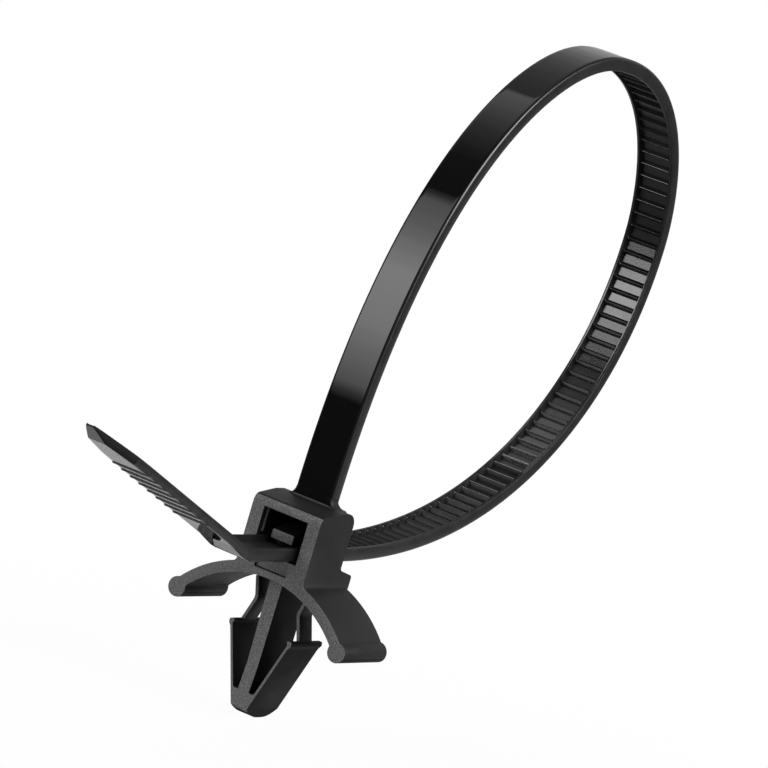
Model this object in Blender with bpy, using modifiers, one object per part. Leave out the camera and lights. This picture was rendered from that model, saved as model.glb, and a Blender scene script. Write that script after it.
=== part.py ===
"""Push mount cable tie, closed into a loop through its own head. Metres, +Z up.

One nylon moulding: an arrowhead that snaps into a panel hole, an arched wing that presses on
the panel, a head with a pawl, and a toothed strap that leaves the head's top, runs round a
bundle and comes out of the head's front as a ribbed tail. X runs along the wing and across
the strap, the head's front faces -Y, and the origin is on the arrowhead's axis, level with
the catches that hold behind the panel.
"""

import math

import bmesh
import bpy
from mathutils import Matrix, Vector

MM = 0.001

# Strap
STRAP_WIDTH = 4.8 * MM
STRAP_THICKNESS = 1.55 * MM
OUTER_EDGE = 0.45 * MM
INNER_EDGE = 0.15 * MM
RAIL_WIDTH = 0.35 * MM
RAIL_LEAN = 0.25 * MM
CREST_DROP = 0.15 * MM
TOOTH_DEPTH = 0.5 * MM
TOOTH_PITCH = 1.5 * MM
TOOTH_RISE = 0.3 * MM
TOOTH_FALL = 0.5 * MM
PLAIN_ROOT = 18.15 * MM
PLAIN_STEP = 3.0 * MM

# Loop, along the strap's outer face: the top and far points and the reach of each curve
LOOP_TOP = 51.82 * MM
LOOP_TOP_REACH = 32.0 * MM
LOOP_FAR = 54.0 * MM
LOOP_FAR_HEIGHT = 31.03 * MM
RISE_REACH = 39.6 * MM
TOP_REACH_BACK = 10.95 * MM
TOP_REACH_ON = 16.7 * MM
FAR_REACH_UP = 7.4 * MM
FAR_REACH_DOWN = 19.7 * MM
SLOT_REACH = 32.7 * MM
LOOP_END = 2.3 * MM

# Tail
TAIL_RUN = 8.3 * MM
TAIL_BEND_RADIUS = 7.0 * MM
TAIL_ANGLE = math.radians(20.9)
TAIL_LENGTH = 35.8 * MM
TAIL_THICKNESS = 1.2 * MM
TAIL_THIN = 0.95 * MM
TEETH_BEFORE_BEND = 9.5 * MM
TEETH_RUN_OUT = 0.8 * MM
PLAIN_DEPTH = 0.25 * MM
THIN_PLACE = 9.9 * MM
THIN_STEP = 4.5 * MM
RIB_COUNT = 8
RIB_FIRST = 10.5 * MM
RIB_PITCH = 2.1 * MM
RIB_LENGTH = 0.8 * MM
RIB_HEIGHT = 0.2 * MM
SHALLOW = 0.05 * MM
BEND_STEPS = 6
TIP_LENGTH = 8.0 * MM
TIP_WIDTH = 1.0 * MM
TIP_SLANT = 2.4 * MM
TIP_EDGE = 0.25 * MM

# Head
ROOT_BACK = 0.6 * MM
ROOT_FLARE = 1.0 * MM
ROOT_FLARE_DEEP = 0.45 * MM
HEAD_WIDTH = 8.8 * MM
HEAD_FRONT = 4.74 * MM
HEAD_REAR = 1.9 * MM
SLOT_FLOOR = 8.15 * MM
SLOT_HEIGHT = 4.75 * MM
SLOT_WIDTH = 5.74 * MM
CHAMBER_WIDTH = 5.2 * MM
MOUTH_DEPTH = 0.7 * MM
REAR_WALL = 1.3 * MM
ROOF_FRONT = 0.95 * MM
ROOF_REAR = 1.5 * MM
TOP_ROUND = 0.9 * MM
REAR_ROUND = 2.1 * MM
SIDE_ROUND = 0.45 * MM
LEDGE_LENGTH = 2.55 * MM
LEDGE_FALL = 0.6 * MM
LEDGE_ROUND = 0.4 * MM
NOTCH_ROUND = 0.45 * MM
RECESS_WIDTH = 4.1 * MM
RECESS_HEIGHT = 1.1 * MM
RECESS_DEPTH = 0.4 * MM
RECESS_BELOW_SLOT = 0.4 * MM

# Fits in the slot
STRAP_SEAT = 0.2 * MM
STRAP_COVER = 0.2 * MM
PAWL_GAP = 0.12 * MM

# Pawl
PAWL_WIDTH = 2.8 * MM
PAWL_END_HEIGHT = 1.0 * MM
PAWL_END_SETBACK = 0.5 * MM
PAWL_ROOT_HEIGHT = 1.5 * MM
PAWL_ROOT_DROP = 0.35 * MM
PAWL_RELIEF = 0.35 * MM
PAWL_TEETH_LENGTH = 2.4 * MM

# Wing
WING_RISE = 5.75 * MM
WING_UNDER_RADIUS = 13.0 * MM
WING_THICKNESS = 1.25 * MM
WING_DEPTH = 8.4 * MM
WING_SETBACK = 0.1 * MM
WING_HALF_LENGTH = 12.1 * MM
BEAD_DIAMETER = 2.2 * MM
BEAD_INSET = 0.12 * MM
WING_FILLET = 0.6 * MM

# Arrowhead
BARB_REACH = 4.1 * MM
BARB_THICKNESS = 0.5 * MM
BARB_LIP = 0.72 * MM
BARB_LIP_HEIGHT = 0.45 * MM
ARROW_DEPTH = 6.1 * MM
ARROW_LENGTH = 9.6 * MM
TIP_HALF_WIDTH = 1.05 * MM
TIP_SIDE_HEIGHT = 1.0 * MM
TIP_TAPER = 0.1 * MM
TIP_SOLID_HEIGHT = 2.75 * MM
STEM_WIDTH = 1.7 * MM
STEM_DEPTH = 5.0 * MM
NECK_DEPTH = 2.5 * MM
NECK_THICKNESS = 0.45 * MM
NECK_WAIST = 2.75 * MM
NECK_WAIST_HEIGHT = 2.7 * MM
NECK_TOP = 3.4 * MM
NECK_WING_GAP = 0.3 * MM

# How far joined shapes run into each other, and cutters past what they cut
SINK = 0.4 * MM
PAST = 1.0 * MM
SIDE_PAST = 0.15 * MM
HEAD_FOOT = 0.3 * MM
FILLET_SINK = 0.02 * MM

# Values worked out from the sizes above
STRAP_BOTTOM = SLOT_FLOOR + STRAP_SEAT
SLOT_ROOF = SLOT_FLOOR + SLOT_HEIGHT
CREST = STRAP_THICKNESS - CREST_DROP
VALLEY = CREST - TOOTH_DEPTH
WING_CENTRE = WING_RISE - WING_UNDER_RADIUS
BEAD_ARC_RADIUS = WING_UNDER_RADIUS + WING_THICKNESS / 2 - BEAD_INSET
BEAD_ANGLE = WING_HALF_LENGTH / BEAD_ARC_RADIUS
HEAD_TOP = SLOT_ROOF + ROOF_REAR


def clear_scene():
    """Removes every object that the file holds."""
    for obj in list(bpy.data.objects):
        bpy.data.objects.remove(obj, do_unlink=True)


def new_collection(name):
    collection = bpy.data.collections.new(name)
    bpy.context.scene.collection.children.link(collection)
    return collection


def put(obj, collection):
    for old in list(obj.users_collection):
        old.objects.unlink(obj)
    collection.objects.link(obj)
    return obj


def nylon():
    """Black moulded nylon."""
    material = bpy.data.materials.new("black_nylon")
    material.use_nodes = True
    shader = material.node_tree.nodes["Principled BSDF"]
    shader.inputs["Base Color"].default_value = (0.018, 0.018, 0.019, 1.0)
    shader.inputs["Roughness"].default_value = 0.38
    shader.inputs["Metallic"].default_value = 0.0
    return material


# Outlines lie in a side plane (Y, Z) or in a front plane (X, Z)
SIDE = Matrix(((0, 0, 1, 0), (1, 0, 0, 0), (0, 1, 0, 0), (0, 0, 0, 1)))
FRONT = Matrix(((1, 0, 0, 0), (0, 0, -1, 0), (0, 1, 0, 0), (0, 0, 0, 1)))


def slab(name, outline, plane, low, high, collection):
    """A flat outline made solid across its plane, from low to high along the plane's own axis."""
    curve = bpy.data.curves.new(name, "CURVE")
    curve.dimensions = "2D"
    curve.fill_mode = "BOTH"
    curve.extrude = (high - low) / 2
    spline = curve.splines.new("POLY")
    spline.points.add(len(outline) - 1)
    for point, (across, up) in zip(spline.points, outline):
        point.co = (across, up, 0, 1)
    spline.use_cyclic_u = True
    guide = bpy.data.objects.new(name + "_outline", curve)
    bpy.context.scene.collection.objects.link(guide)
    middle = (low + high) / 2
    guide.matrix_world = plane @ Matrix.Translation((0, 0, middle if plane is SIDE else -middle))
    bpy.context.view_layer.update()
    graph = bpy.context.evaluated_depsgraph_get()
    mesh = bpy.data.meshes.new_from_object(guide.evaluated_get(graph))
    solid = bpy.data.objects.new(name, mesh)
    mesh.transform(guide.matrix_world)
    bpy.data.objects.remove(guide, do_unlink=True)
    shape = bmesh.new()
    shape.from_mesh(mesh)
    bmesh.ops.remove_doubles(shape, verts=shape.verts, dist=1e-7)
    bmesh.ops.recalc_face_normals(shape, faces=shape.faces)
    shape.to_mesh(mesh)
    shape.free()
    collection.objects.link(solid)
    return solid


def block(name, low, high, collection):
    """A box between two corners."""
    mesh = bpy.data.meshes.new(name)
    shape = bmesh.new()
    size = [b - a for a, b in zip(low, high)]
    middle = [(a + b) / 2 for a, b in zip(low, high)]
    place = Matrix.Translation(middle) @ Matrix.Diagonal((*size, 1))
    bmesh.ops.create_cube(shape, size=1, matrix=place)
    shape.to_mesh(mesh)
    shape.free()
    obj = bpy.data.objects.new(name, mesh)
    collection.objects.link(obj)
    return obj


def combine(target, other, operation):
    """One Boolean on the target. The other object stays as a hidden helper."""
    step = target.modifiers.new(f"{operation.lower()}_{other.name}", "BOOLEAN")
    step.operation = operation
    step.solver = "EXACT"
    step.object = other
    other.hide_render = True
    other.display_type = "WIRE"


def soften(obj, width, segments):
    """Rounds the sharp edges of a helper before it is used."""
    edge = obj.modifiers.new("rounded_edges", "BEVEL")
    edge.width = width
    edge.segments = segments
    edge.limit_method = "ANGLE"
    edge.angle_limit = math.radians(40)


def arc(centre, radius, start, end, steps):
    """Points on an arc, angles in degrees, from start to end."""
    points = []
    for i in range(steps + 1):
        angle = math.radians(start + (end - start) * i / steps)
        points.append((centre[0] + radius * math.cos(angle), centre[1] + radius * math.sin(angle)))
    return points


def rounded(corners, steps=4):
    """A closed outline with an arc at each corner. A corner is (across, up, radius)."""
    outline = []
    count = len(corners)
    for i, (across, up, radius) in enumerate(corners):
        here = Vector((across, up))
        before = Vector(corners[i - 1][:2]) - here
        after = Vector(corners[(i + 1) % count][:2]) - here
        if radius <= 0:
            outline.append(tuple(here))
            continue
        half = before.angle(after) / 2
        reach = min(radius / math.tan(half), 0.48 * before.length, 0.48 * after.length)
        true_radius = reach * math.tan(half)
        inward = (before.normalized() + after.normalized()).normalized()
        centre = here + inward * (true_radius / math.sin(half))
        first = here + before.normalized() * reach - centre
        last = here + after.normalized() * reach - centre
        turn = first.angle_signed(last)
        for k in range(steps + 1):
            angle = -turn * k / steps
            c, s = math.cos(angle), math.sin(angle)
            outline.append((
                centre.x + c * first.x - s * first.y,
                centre.y + s * first.x + c * first.y,
            ))
    return outline


def curve_between(start, start_pull, end_pull, end, steps=80):
    """A cubic curve that leaves start towards start_pull and meets end from end_pull."""
    points = []
    for i in range(steps):
        t = i / steps
        points.append(
            start * (1 - t) ** 3
            + start_pull * 3 * t * (1 - t) ** 2
            + end_pull * 3 * t * t * (1 - t)
            + end * t**3
        )
    return points


def strap_route():
    """The strap's outer face in the side plane, from inside the head to the tail's tip.

    Returns the points, and the lengths along them at which the tail bends and starts.
    """
    root_roof = SLOT_ROOF + SINK
    root = Vector((-ROOT_BACK, root_roof))
    top = Vector((LOOP_TOP_REACH, LOOP_TOP + HEAD_TOP))
    far = Vector((LOOP_FAR, LOOP_FAR_HEIGHT + HEAD_TOP))
    slot = Vector((HEAD_REAR + LOOP_END, STRAP_BOTTOM))
    up, on = Vector((0, 1)), Vector((1, 0))
    rise = HEAD_TOP - root_roof + RISE_REACH
    points = curve_between(root, root + up * rise, top - on * TOP_REACH_BACK, top)
    points += curve_between(top, top + on * TOP_REACH_ON, far + up * FAR_REACH_UP, far)
    points += curve_between(far, far - up * FAR_REACH_DOWN, slot + on * SLOT_REACH, slot)
    bend = Vector((-HEAD_FRONT - TAIL_RUN, STRAP_BOTTOM))
    cut_back = TAIL_BEND_RADIUS * math.tan(TAIL_ANGLE / 2)
    along = Vector((-math.cos(TAIL_ANGLE), math.sin(TAIL_ANGLE)))
    points.append(slot)
    points.append(Vector((0, STRAP_BOTTOM)))
    centre = bend + Vector((cut_back, TAIL_BEND_RADIUS))
    turn = -90 - math.degrees(TAIL_ANGLE)
    points += [Vector(p) for p in arc(centre, TAIL_BEND_RADIUS, -90, turn, 10)]
    tail_start = len(points) - 1
    points.append(bend + along * TAIL_LENGTH)
    return points, tail_start


class Route:
    """Places along the strap, by length from its root, measured along the tops of the teeth."""

    def __init__(self, points):
        self.points = points
        self.turns = self.directions()
        tooth_line = [
            point + Vector((turn.y, -turn.x)) * CREST for point, turn in zip(points, self.turns)
        ]
        self.lengths = [0.0]
        for a, b in zip(tooth_line, tooth_line[1:]):
            self.lengths.append(self.lengths[-1] + (b - a).length)
        self.total = self.lengths[-1]

    def directions(self):
        runs = [(b - a).normalized() for a, b in zip(self.points, self.points[1:])]
        return [runs[0]] + [(a + b).normalized() for a, b in zip(runs, runs[1:])] + [runs[-1]]

    def place(self, length):
        """The point of the outer face and the way towards the inner face, at a length."""
        i = 0
        while i < len(self.points) - 2 and self.lengths[i + 1] < length:
            i += 1
        share = (length - self.lengths[i]) / (self.lengths[i + 1] - self.lengths[i])
        point = self.points[i].lerp(self.points[i + 1], share)
        ahead = self.turns[i].lerp(self.turns[i + 1], share).normalized()
        return point, Vector((ahead.y, -ahead.x))


def strap_section(half_width, outer, inner, floor):
    """The strap's section: across X, and its depth from the outer face.

    The floor lies between two rails that reach the inner face.
    """
    rail = half_width - min(RAIL_WIDTH, half_width * 0.4)
    edge = min(OUTER_EDGE, (inner - outer) * 0.4, half_width * 0.4)
    lip = min(INNER_EDGE, (inner - outer) * 0.2, half_width * 0.2)
    right = [
        (half_width - edge, outer),
        (half_width, outer + edge),
        (half_width, inner - lip),
        (half_width - lip, inner),
        (rail, inner),
        (rail - min(RAIL_LEAN, half_width * 0.1), floor),
    ]
    left = [(-across, depth) for across, depth in reversed(right)]
    return right + left


def tooth_stations(first, last):
    """Lengths and floor depths of the teeth: a steep rise, a fall towards the tail, then a flat."""
    stations = []
    count = int((last - first) / TOOTH_PITCH)
    for i in range(count):
        start = first + i * TOOTH_PITCH
        stations.append((start, 0.0, STRAP_THICKNESS, VALLEY))
        stations.append((start + TOOTH_RISE, 0.0, STRAP_THICKNESS, CREST))
        stations.append((start + TOOTH_RISE + TOOTH_FALL, 0.0, STRAP_THICKNESS, VALLEY))
    stations.append((first + count * TOOTH_PITCH, 0.0, STRAP_THICKNESS, VALLEY))
    return stations


def tail_stations(last_tooth, tail_start, total):
    """Lengths and depths past the teeth: plain, thinner from the bend, ribbed outside, slanted end."""
    inner = TAIL_THICKNESS
    thin = TAIL_THICKNESS - TAIL_THIN
    bend = total - TAIL_LENGTH
    stations = []

    def add(length, outer):
        stations.append((length, outer, inner, inner - SHALLOW))

    plain = STRAP_THICKNESS - PLAIN_DEPTH
    stations.append((last_tooth + TEETH_RUN_OUT, 0.0, STRAP_THICKNESS, plain))
    arc_length = TAIL_ANGLE * TAIL_BEND_RADIUS
    for i in range(BEND_STEPS + 1):
        share = i / BEND_STEPS
        rails = STRAP_THICKNESS + (inner - STRAP_THICKNESS) * share
        floor = plain + (inner - SHALLOW - plain) * share
        stations.append((tail_start - arc_length * (1 - share), 0.0, rails, floor))
    add(bend + THIN_PLACE - THIN_STEP, 0.0)
    add(bend + THIN_PLACE, thin)
    for i in range(RIB_COUNT):
        middle = bend + RIB_FIRST + i * RIB_PITCH
        for step, rise in ((-0.5, 0.0), (-0.25, RIB_HEIGHT), (0.25, RIB_HEIGHT), (0.5, 0.0)):
            add(middle + step * RIB_LENGTH, thin - rise)
    last_rib = stations[-1][0]
    for share in (0.98, 0.8, 0.6, 0.45):
        if total - TIP_LENGTH * share > last_rib + TIP_LENGTH * 0.03:
            add(total - TIP_LENGTH * share, thin)
    for share in (1.0, 0.7, 0.4, 0.15, 0.0):
        add(total - TIP_SLANT * share, inner - TIP_EDGE - (TAIL_THIN - TIP_EDGE) * share)
    return stations


def half_width_at(length, total):
    """The strap is parallel but for its tip, which narrows in a curve."""
    left = (total - length) / TIP_LENGTH
    if left >= 1:
        return STRAP_WIDTH / 2
    end = TIP_WIDTH / 2
    return end + (STRAP_WIDTH / 2 - end) * max(left, 0.0) ** 0.8


def make_strap(collection):
    """A loft along the route. Every station has the same twelve points, at its own depths."""
    points, tail_index = strap_route()
    route = Route(points)
    tail_start = route.lengths[tail_index]
    last_tooth = tail_start - TEETH_BEFORE_BEND
    stations = []
    count = max(2, round(PLAIN_ROOT / PLAIN_STEP))
    for i in range(count):
        stations.append((PLAIN_ROOT * i / count, 0.0, STRAP_THICKNESS, VALLEY))
    stations += tooth_stations(PLAIN_ROOT, last_tooth)
    stations += tail_stations(stations[-1][0], tail_start, route.total)
    mesh = bpy.data.meshes.new("strap")
    shape = bmesh.new()
    rings = []
    for length, outer, inner, floor in stations:
        point, inward = route.place(length)
        ring = []
        half_width = half_width_at(length, route.total)
        for across, depth in strap_section(half_width, outer, inner, floor):
            side = point + inward * depth
            ring.append(shape.verts.new((across, side.x, side.y)))
        rings.append(ring)
    for before, after in zip(rings, rings[1:]):
        for i in range(len(before)):
            k = (i + 1) % len(before)
            shape.faces.new((before[i], before[k], after[k], after[i]))
    shape.faces.new(rings[0])
    shape.faces.new(rings[-1])
    bmesh.ops.recalc_face_normals(shape, faces=shape.faces)
    shape.to_mesh(mesh)
    shape.free()
    obj = bpy.data.objects.new("strap", mesh)
    collection.objects.link(obj)
    return obj


def make_head(collection):
    """The head and the ledge behind it, from their side outline."""
    front, rear = -HEAD_FRONT, HEAD_REAR
    bottom = WING_RISE + HEAD_FOOT
    roof_front = SLOT_ROOF + ROOF_FRONT
    ledge_end = rear + LEDGE_LENGTH
    outline = rounded([
        (front, bottom, 0),
        (ledge_end, bottom, 0),
        (ledge_end, SLOT_FLOOR - LEDGE_FALL, LEDGE_ROUND),
        (rear, SLOT_FLOOR, NOTCH_ROUND),
        (rear, HEAD_TOP, REAR_ROUND),
        (-ROOT_BACK - SINK, HEAD_TOP, 0),
        (front, roof_front, TOP_ROUND),
    ])
    head = slab("head", outline, SIDE, -HEAD_WIDTH / 2, HEAD_WIDTH / 2, collection)
    soften(head, SIDE_ROUND, 3)
    return head


def make_flare(collection):
    """The strap's foot on the head's top: rings that widen in a curve, but for the flat front."""
    middle = -ROOT_BACK + STRAP_THICKNESS / 2
    flat = STRAP_THICKNESS / 2 - FILLET_SINK
    mesh = bpy.data.meshes.new("strap_foot")
    shape = bmesh.new()
    rings = []
    for up in (-SINK / ROOT_FLARE, 0.0, 0.1, 0.25, 0.5, 1.0):
        spread = 1 - math.sqrt(1 - (1 - up) ** 2) if up >= 0 else 1 - up
        half = STRAP_WIDTH / 2 - FILLET_SINK + ROOT_FLARE * spread
        deep = STRAP_THICKNESS / 2 - FILLET_SINK + ROOT_FLARE_DEEP * spread
        height = HEAD_TOP + ROOT_FLARE * up
        corners = ((-half, -flat), (half, -flat), (half, deep), (-half, deep))
        rings.append([shape.verts.new((x, middle + y, height)) for x, y in corners])
    for below, above in zip(rings, rings[1:]):
        for i in range(4):
            k = (i + 1) % 4
            shape.faces.new((below[i], below[k], above[k], above[i]))
    shape.faces.new(rings[0])
    shape.faces.new(rings[-1])
    bmesh.ops.recalc_face_normals(shape, faces=shape.faces)
    shape.to_mesh(mesh)
    shape.free()
    foot = bpy.data.objects.new("strap_foot", mesh)
    collection.objects.link(foot)
    return foot


def cut_slot(head, collection):
    """The strap's passage right through, the pawl's chamber above it, and the front's recess."""
    beyond = HEAD_FRONT + PAST
    passage_top = STRAP_BOTTOM + STRAP_THICKNESS + STRAP_COVER
    half, narrow = SLOT_WIDTH / 2, CHAMBER_WIDTH / 2
    chamber_back = HEAD_REAR - REAR_WALL
    behind = HEAD_REAR + LEDGE_LENGTH + PAST
    cuts = [
        block("passage", (-half, -beyond, SLOT_FLOOR), (half, behind, passage_top), collection),
        block(
            "chamber",
            (-narrow, -beyond, passage_top - SINK),
            (narrow, chamber_back, SLOT_ROOF),
            collection,
        ),
        block(
            "mouth",
            (-half, -beyond, passage_top - SINK),
            (half, -HEAD_FRONT + MOUTH_DEPTH, SLOT_ROOF),
            collection,
        ),
    ]
    recess_top = SLOT_FLOOR - RECESS_BELOW_SLOT
    cuts.append(block(
        "recess",
        (-RECESS_WIDTH / 2, -beyond, recess_top - RECESS_HEIGHT),
        (RECESS_WIDTH / 2, -HEAD_FRONT + RECESS_DEPTH, recess_top),
        collection,
    ))
    for cut in cuts:
        combine(head, cut, "DIFFERENCE")


def make_pawl(collection):
    """The pawl: a tongue from the rear wall down to its end above the strap's teeth."""
    bottom = STRAP_BOTTOM + CREST + PAWL_GAP
    tip = -HEAD_FRONT + PAWL_END_SETBACK
    wall = HEAD_REAR - REAR_WALL
    root_top = SLOT_ROOF - PAWL_ROOT_DROP
    outline = [
        (tip, bottom),
        (tip + PAWL_TEETH_LENGTH, bottom),
        (tip + PAWL_TEETH_LENGTH + PAWL_RELIEF, bottom + PAWL_RELIEF),
        (wall, root_top - PAWL_ROOT_HEIGHT),
        (wall + SINK, root_top - PAWL_ROOT_HEIGHT),
        (wall + SINK, root_top),
        (wall, root_top),
        (tip, bottom + PAWL_END_HEIGHT),
    ]
    return slab("pawl", outline, SIDE, -PAWL_WIDTH / 2, PAWL_WIDTH / 2, collection)


def circles_meet(first, first_radius, second, second_radius):
    """The two points where two circles in one plane meet."""
    between = second - first
    apart = between.length
    along = (apart**2 + first_radius**2 - second_radius**2) / (2 * apart)
    aside = math.sqrt(max(first_radius**2 - along**2, 0.0))
    ahead = between.normalized()
    sideways = Vector((-ahead.y, ahead.x))
    foot = first + ahead * along
    return foot + sideways * aside, foot - sideways * aside


def make_wing(collection):
    """The arched plate on the panel, with a round bead along each end and curves up to the head.

    The bead's centre is found along the arch, so the plate keeps its length when its radius changes.
    """
    centre = Vector((0, WING_CENTRE))
    bead = centre + Vector((math.sin(BEAD_ANGLE), math.cos(BEAD_ANGLE))) * BEAD_ARC_RADIUS
    over_radius = WING_UNDER_RADIUS + WING_THICKNESS
    over_end = circles_meet(centre, over_radius, bead, BEAD_DIAMETER / 2)[0]
    under_end = circles_meet(centre, WING_UNDER_RADIUS, bead, BEAD_DIAMETER / 2)[0]

    def angle_of(point, middle):
        return math.degrees(math.atan2(point.y - middle.y, point.x - middle.x))

    over = angle_of(over_end, centre)
    under = angle_of(under_end, centre)
    bead_over = angle_of(over_end, bead)
    bead_under = angle_of(under_end, bead) - 360
    right = arc(bead, BEAD_DIAMETER / 2, bead_over, bead_under, 16)
    wall = HEAD_WIDTH / 2 - FILLET_SINK
    reach = wall + WING_FILLET
    middle = math.degrees(math.acos((wall - SINK) / over_radius))
    beside = math.degrees(math.acos(reach / over_radius))
    foot = WING_CENTRE + math.sqrt(over_radius**2 - reach**2)
    corner = [(wall - SINK, foot + WING_FILLET)]
    corner += arc((reach, foot + WING_FILLET), WING_FILLET, 180, 270, 6)[:-1]
    side = corner + arc(centre, over_radius, beside, over, 8)[:-1] + right
    outline = arc(centre, over_radius, 180 - middle, middle, 8) + side
    outline += arc(centre, WING_UNDER_RADIUS, under, 180 - under, 24)[1:-1]
    outline += [(-across, up) for across, up in reversed(side)]
    low = -HEAD_FRONT + WING_SETBACK
    return slab("wing", outline, FRONT, low, low + WING_DEPTH, collection)


def make_arrow(collection):
    """The barbs and the tip from their front outline, cut to the tip's curved bottom."""
    depth = ARROW_DEPTH / 2
    tip_low = -ARROW_LENGTH
    side_low = tip_low + TIP_SIDE_HEIGHT
    lean = (BARB_REACH - TIP_HALF_WIDTH) / -side_low
    wall = BARB_THICKNESS * math.hypot(1, lean)
    gap_low = tip_low + TIP_SOLID_HEIGHT

    def outer_at(height):
        return BARB_REACH + height * lean

    right = [
        (TIP_HALF_WIDTH - TIP_TAPER, tip_low),
        (TIP_HALF_WIDTH, side_low),
        (outer_at(-2 * BARB_LIP_HEIGHT), -2 * BARB_LIP_HEIGHT),
        (BARB_REACH, -BARB_LIP_HEIGHT),
        (BARB_REACH, 0),
        (BARB_REACH - BARB_LIP, 0),
        (outer_at(-BARB_LIP_HEIGHT) - wall, -BARB_LIP_HEIGHT),
        (outer_at(gap_low) - wall, gap_low),
    ]
    left = [(-across, up) for across, up in reversed(right)]
    arrow = slab("arrow", right + left, FRONT, -depth, depth, collection)
    sag = TIP_SIDE_HEIGHT
    radius = (depth * depth + sag * sag) / (2 * sag)
    reach = depth + SIDE_PAST
    edge = math.degrees(math.asin(min(1.0, reach / radius)))
    curved = arc((0, tip_low + radius), radius, -90 - edge, -90 + edge, 12)
    profile = [(reach, PAST), (-reach, PAST)] + curved
    envelope = slab("tip_profile", profile, SIDE, -2 * BARB_REACH, 2 * BARB_REACH, collection)
    combine(arrow, envelope, "INTERSECT")
    stem = block(
        "stem",
        (-STEM_WIDTH / 2, -STEM_DEPTH / 2, gap_low - SINK),
        (STEM_WIDTH / 2, STEM_DEPTH / 2, WING_RISE + SINK),
        collection,
    )
    return arrow, stem


def make_neck(side, collection):
    """The thin strip that stands on a barb: in to the panel hole, then out under the wing."""
    half = NECK_THICKNESS / 2
    foot = BARB_REACH - BARB_LIP / 2
    under_wing = WING_CENTRE + math.sqrt(WING_UNDER_RADIUS**2 - NECK_TOP**2)
    top = under_wing - NECK_WING_GAP
    outer = [
        (foot + half, -BARB_LIP_HEIGHT / 2),
        (NECK_WAIST + half, NECK_WAIST_HEIGHT),
        (NECK_TOP + half, top),
    ]
    outline = outer + [(across - NECK_THICKNESS, up) for across, up in reversed(outer)]
    name = "neck_left" if side < 0 else "neck_right"
    if side < 0:
        outline = [(-across, up) for across, up in reversed(outline)]
    return slab(name, outline, FRONT, -NECK_DEPTH / 2, NECK_DEPTH / 2, collection)


def main():
    clear_scene()
    shown = new_collection("push_mount_cable_tie")
    helpers = new_collection("helpers")
    head = make_head(helpers)
    cut_slot(head, helpers)
    wing = make_wing(helpers)
    arrow, stem = make_arrow(helpers)
    necks = [make_neck(side, helpers) for side in (-1, 1)]
    pawl = make_pawl(helpers)
    flare = make_flare(helpers)
    tie = make_strap(helpers)
    for piece in [wing, stem, arrow, *necks, head, flare, pawl]:
        combine(tie, piece, "UNION")
    tie.name = "cable_tie"
    tie.data.materials.append(nylon())
    tie.data.shade_smooth()
    tie.data.set_sharp_from_angle(angle=math.radians(30))
    put(tie, shown)


main()
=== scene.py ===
"""Looks of a push mount cable tie: black nylon, closed in a loop through its own head.

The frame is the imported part. Every piece here stands for its one solid, at the same place and
size, with finer edges, a finish for each kind of face, and the studio of the photograph.
X runs along the wing, the head's front faces -Y and +Z points out of the panel.
"""

from __future__ import annotations

import logging
import math
from bisect import bisect_right
from collections.abc import Callable, Iterable
from contextlib import contextmanager
from dataclasses import dataclass, field
from enum import Enum

import bpy
from mathutils import Matrix, Vector

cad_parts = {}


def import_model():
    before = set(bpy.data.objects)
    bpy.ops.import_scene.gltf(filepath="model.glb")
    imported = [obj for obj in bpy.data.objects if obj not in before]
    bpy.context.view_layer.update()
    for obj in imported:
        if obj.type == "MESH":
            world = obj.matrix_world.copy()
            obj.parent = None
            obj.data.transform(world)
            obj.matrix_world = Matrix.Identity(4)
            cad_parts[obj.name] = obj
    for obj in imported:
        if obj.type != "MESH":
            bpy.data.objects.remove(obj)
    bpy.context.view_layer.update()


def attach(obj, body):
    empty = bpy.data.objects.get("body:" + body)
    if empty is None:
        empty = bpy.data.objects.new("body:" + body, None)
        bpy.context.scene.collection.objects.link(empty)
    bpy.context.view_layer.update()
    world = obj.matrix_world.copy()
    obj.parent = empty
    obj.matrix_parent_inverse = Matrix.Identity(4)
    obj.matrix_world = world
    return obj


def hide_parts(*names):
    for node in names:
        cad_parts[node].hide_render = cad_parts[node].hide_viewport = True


LOG = logging.getLogger("cable_tie")
MM = 0.001
NODE = "cable_tie"
BODY = "root"
# Lengths in metres: places this close count as one, and points this close are merged
HAIR = 1e-7
MERGE = 1e-6

Object = bpy.types.Object
Tree = bpy.types.NodeTree
Socket = bpy.types.NodeSocket
Test = Callable[[Vector, Vector], bool]
Points = list[tuple[float, float]]
Stops = tuple[tuple[float, float], ...]


class Side(Enum):
    """The plane that a flat outline lies in."""

    SIDE = "side"
    FRONT = "front"


# Hand tools


def activate(obj: Object) -> None:
    """Makes one object the only selected and active one.

    Args:
        obj: The object.
    """
    for other in bpy.context.selected_objects:
        other.select_set(False)
    obj.select_set(True)
    bpy.context.view_layer.objects.active = obj


@contextmanager
def editing(obj: Object, kind: str = "EDGE") -> Iterable[None]:
    """Edit mode on one object, with what was selected by code.

    Args:
        obj: The object to edit.
        kind: VERT, EDGE or FACE.
    """
    activate(obj)
    kinds = ("VERT", "EDGE", "FACE")
    bpy.context.tool_settings.mesh_select_mode = [kind == each for each in kinds]
    bpy.ops.object.mode_set(mode="EDIT")
    yield
    bpy.ops.object.mode_set(mode="OBJECT")


def select_none(obj: Object) -> None:
    """Clears the selection of the mesh."""
    for items in (obj.data.vertices, obj.data.edges, obj.data.polygons):
        items.foreach_set("select", [False] * len(items))


def select_edges(obj: Object, test: Test) -> int:
    """Selects the edges whose two ends pass a test.

    Args:
        obj: The object.
        test: Takes both ends of an edge.

    Returns:
        How many edges are selected.
    """
    select_none(obj)
    points = obj.data.vertices
    chosen = [edge for edge in obj.data.edges if test(*(points[i].co for i in edge.vertices))]
    for edge in chosen:
        edge.select = True
        for i in edge.vertices:
            points[i].select = True
    return len(chosen)


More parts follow.
